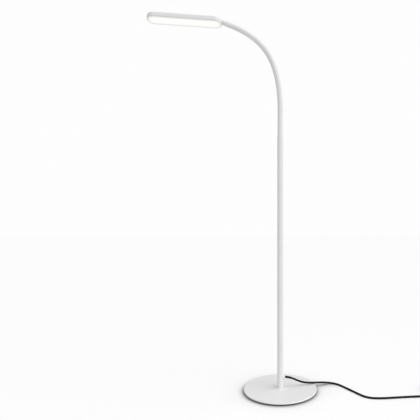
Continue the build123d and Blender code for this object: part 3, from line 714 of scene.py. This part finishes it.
def relief_sleeve(name, line, start, length, bore, thick, thin, material):
    """A tapered sleeve round the start of a cord, with shallow grooves across it.

    Its outer radius falls evenly from thick to thin, less grooves that follow the fourth power
    of a cosine.
    """
    travelled = np.concatenate([[0], np.cumsum(np.linalg.norm(np.diff(line, axis=0), axis=1))])
    share = np.linspace(0, 1, SLEEVE_RINGS)
    at = start + share * length
    points = np.stack([np.interp(at, travelled, line[:, k]) for k in range(3)], -1)
    along = np.gradient(points, axis=0)
    along /= np.linalg.norm(along, axis=1)[:, None]
    second = np.cross(along, (0.0, 1.0, 0.0))
    second /= np.linalg.norm(second, axis=1)[:, None]
    first = np.cross(second, along)
    groove = GROOVE_DEPTH * np.cos(np.pi * GROOVES * share) ** 4 * (share > 0.1) * (share < 0.93)
    outer = thick + (thin - thick) * share - groove
    outer[-3:] -= (0.0, 0.0002, 0.0006)
    order = np.concatenate([np.arange(SLEEVE_RINGS), np.arange(SLEEVE_RINGS)[::-1]])
    radii = np.concatenate([outer, np.full(SLEEVE_RINGS, bore)])
    rings = ring_points(points[order], first[order], second[order], radii)
    return grid_object(name, rings, material)


# ---- The pieces, one operator each ----


class LAMP_OT_stage(bpy.types.Operator):
    """Makes the camera, the floor and the soft light"""

    bl_idname = "lamp.stage"
    bl_label = "Stage"

    def execute(self, context):
        scene, stage = context.scene, context.scene.lamp_stage
        camera = bpy.data.objects.new("camera", bpy.data.cameras.new("camera"))
        camera.data.lens = stage.lens
        camera.data.shift_x = stage.shift
        camera.location = stage.camera_place
        camera.rotation_euler = (math.radians(90), 0, stage.camera_turn)
        scene.collection.objects.link(camera)
        scene.camera = camera
        scene.view_settings.view_transform = "Standard"
        self.add_floor(scene, stage)
        self.add_light(scene, stage)
        return {"FINISHED"}

    def add_floor(self, scene, stage):
        """A wide flat floor, with a painted shadow that darkens its colour close round the base."""
        corners = [(FLOOR_HALF * x, FLOOR_HALF * y, 0) for x, y in ((-1, -1), (1, -1), (1, 1), (-1, 1))]
        mesh = bpy.data.meshes.new("floor")
        mesh.from_pydata(corners, [], [(0, 1, 2, 3)])
        material, tree, shader = new_material("pale floor", Roughness=0.9, Specular_IOR_Level=0.0,
                                              Emission_Color=(1, 1, 1, 1), Emission_Strength=FLOOR_GLOW)
        # Painted shadow: ambient occlusion raised to a power darkens the floor's colour next to the base and the
        # cord, deeper than the lights' own shade.
        near = put(tree, "AmbientOcclusion", [("Distance", PAINTED_SHADOW_DISTANCE)], samples=16).outputs["AO"]
        away = put(tree, "VectorMath", [(0, object_place(tree))], operation="LENGTH").outputs["Value"]
        open_share = maths(tree, "POWER", near, PAINTED_SHADOW_POWER)
        share = maths(tree, "MAXIMUM", open_share, ramp(tree, away, *PAINTED_SHADOW_END))
        dark = tuple(PAINTED_SHADOW_SHARE * c for c in stage.floor)
        shaded = blend_colours(tree, share, dark, tuple(stage.floor))
        seen = put(tree, "LightPath").outputs["Is Camera Ray"]
        bounce = tuple(stage.bounce * c for c in stage.floor)
        tree.links.new(blend_colours(tree, seen, bounce, shaded), shader["Base Color"])
        mesh.materials.append(material)
        floor = bpy.data.objects.new("floor", mesh)
        scene.collection.objects.link(floor)

    def add_light(self, scene, stage):
        """A wide soft light from the right, a low one beside the camera, and even light from the room."""
        sun = bpy.data.objects.new("key light", bpy.data.lights.new("key light", "SUN"))
        sun.data.energy = stage.sun
        sun.data.angle = KEY_ANGLE
        sun.rotation_euler = Vector(KEY_TOWARDS).to_track_quat("Z", "Y").to_euler()
        fill = bpy.data.objects.new("fill light", bpy.data.lights.new("fill light", "AREA"))
        fill.data.energy = stage.fill
        fill.data.size = FILL_SIZE
        fill.location = FILL_PLACE
        away = Vector(FILL_AIM) - fill.location
        fill.rotation_euler = away.to_track_quat("-Z", "Y").to_euler()
        for light in (sun, fill):
            scene.collection.objects.link(light)
        world = bpy.data.worlds.new("room")
        world.use_nodes = True
        tree = world.node_tree
        tree.nodes.clear()
        seen = put(tree, "LightPath").outputs["Is Camera Ray"]
        strength = ramp(tree, seen, 0.0, 1.0, stage.room, BACKDROP)
        back = put(tree, "Background", [("Color", (1, 1, 1, 1)), ("Strength", strength)])
        out = put(tree, "OutputWorld")
        tree.links.new(back.outputs[0], out.inputs[0])
        scene.world = world


class LAMP_OT_cord(bpy.types.Operator):
    """Lays the power cord from the gland to the plug, with its sleeve and its tie"""

    bl_idname = "lamp.cord"
    bl_label = "Power cord"

    def execute(self, context):
        sizes = context.scene.lamp_sizes
        points = np.concatenate([CORD_ROUTE, coil_points(), CORD_TAIL])
        cord = cord_curve("flex_cord", points, sizes.cord_diameter)
        material = finish_of("black_cord", context)
        cord.data.materials.append(material)
        radius = sizes.cord_diameter / 2
        sleeve = relief_sleeve("cord_sleeve", curve_line(cord), SLEEVE_START, sizes.relief_length,
                               radius + SLEEVE_BORE, radius + SLEEVE_THICK, radius + SLEEVE_THIN, material)
        for piece in (cord, sleeve):
            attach(piece, STAND)
        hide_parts("power_cord", "cord_coil", "plug_cord")
        finish_nodes(context, ("cord_tie", "plug_body", "plug_pins"))
        return {"FINISHED"}


class LAMP_OT_base(bpy.types.Operator):
    """Finishes the base: its cover, its weight, its pad and its fastenings"""

    bl_idname = "lamp.base"
    bl_label = "Base"

    def execute(self, context):
        finish_nodes(context, ("base_cover", "foot_rosette", "base_weight", "base_pad", "base_bolt",
                               "base_washer"))
        return {"FINISHED"}


class LAMP_OT_pole(bpy.types.Operator):
    """Finishes the pole, what joins it, and the gland with its lead"""

    bl_idname = "lamp.pole"
    bl_label = "Pole"

    def execute(self, context):
        finish_nodes(context, ("lower_pole_tube", "upper_pole_tube", "pole_foot_insert", "pole_coupler",
                               "neck_adaptor", "neck_grub_screw", "cord_gland", "gland_clip", "pole_lead"))
        return {"FINISHED"}


class LAMP_OT_neck(bpy.types.Operator):
    """Covers the neck with its smooth sleeve, in stretches, one round each joint"""

    bl_idname = "lamp.neck"
    bl_label = "Neck"

    def execute(self, context):
        sizes, material = context.scene.lamp_sizes, finish_of("white_sleeve", context)
        joints = [joint for joint in frame["joints"] if joint["name"].startswith("neck")]
        if len(joints) != LINKS - 1:
            raise RuntimeError("the frame's neck has another number of joints than the sleeve")
        for k, joint in enumerate(joints, 1):
            start = 0.0 if k == 1 else (k - 0.5) * LINK_LENGTH
            end = LINKS * LINK_LENGTH if k == LINKS - 1 else (k + 0.5) * LINK_LENGTH
            skin = neck_skin(f"neck_skin_{k:02d}", start, end, sizes, material)
            turns, _ = neck_line(k * LINK_LENGTH + BEND_REACH * np.array((-1, 1)))
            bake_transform(skin)
            hidden = [f"neck_sleeve_{k:02d}"] + ([f"neck_sleeve_{LINKS:02d}"] if k == LINKS - 1 else [])
            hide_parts(*hidden)
        finish_nodes(context, [f"neck_core_{k:02d}" for k in range(1, LINKS + 1)])
        return {"FINISHED"}


class LAMP_OT_head(bpy.types.Operator):
    """Finishes the head: its shell, its lit panel, what is inside it, and the stud that it turns on"""

    bl_idname = "lamp.head"
    bl_label = "Head"

    def execute(self, context):
        finish_nodes(context, ("neck_ferrule", "head_nipple", "head_washer", "head_nut", "head_shell",
                               "head_bezel", "head_diffuser", "led_board", "led_chips", "led_screws",
                               "driver_board", "driver_parts", "touch_board", "head_lead"))
        return {"FINISHED"}


class VIEW3D_PT_lamp(bpy.types.Panel):
    """Lists the lamp's pieces, sizes and colours"""

    bl_label = "Gooseneck lamp"
    bl_space_type = "VIEW_3D"
    bl_region_type = "UI"
    bl_category = "Lamp"

    def draw(self, context):
        for operator in OPERATORS:
            self.layout.operator(operator.bl_idname)
        for group in (context.scene.lamp_sizes, context.scene.lamp_colours, context.scene.lamp_stage):
            column = self.layout.column(align=True)
            for name in type(group).__annotations__:
                column.prop(group, name)


OPERATORS = (LAMP_OT_stage, LAMP_OT_cord, LAMP_OT_base, LAMP_OT_pole, LAMP_OT_neck, LAMP_OT_head)
CLASSES = (LampSizes, LampColours, LampStage, *OPERATORS, VIEW3D_PT_lamp)


def register():
    for cls in CLASSES:
        bpy.utils.register_class(cls)
    bpy.types.Scene.lamp_sizes = bpy.props.PointerProperty(type=LampSizes)
    bpy.types.Scene.lamp_colours = bpy.props.PointerProperty(type=LampColours)
    bpy.types.Scene.lamp_stage = bpy.props.PointerProperty(type=LampStage)


def unregister():
    del bpy.types.Scene.lamp_stage, bpy.types.Scene.lamp_colours, bpy.types.Scene.lamp_sizes
    for cls in reversed(CLASSES):
        bpy.utils.unregister_class(cls)


def main():
    register()
    bpy.ops.lamp.stage()
    bpy.ops.lamp.cord()
    bpy.ops.lamp.base()
    bpy.ops.lamp.pole()
    bpy.ops.lamp.neck()
    bpy.ops.lamp.head()


if __name__ == "__main__":
    main()
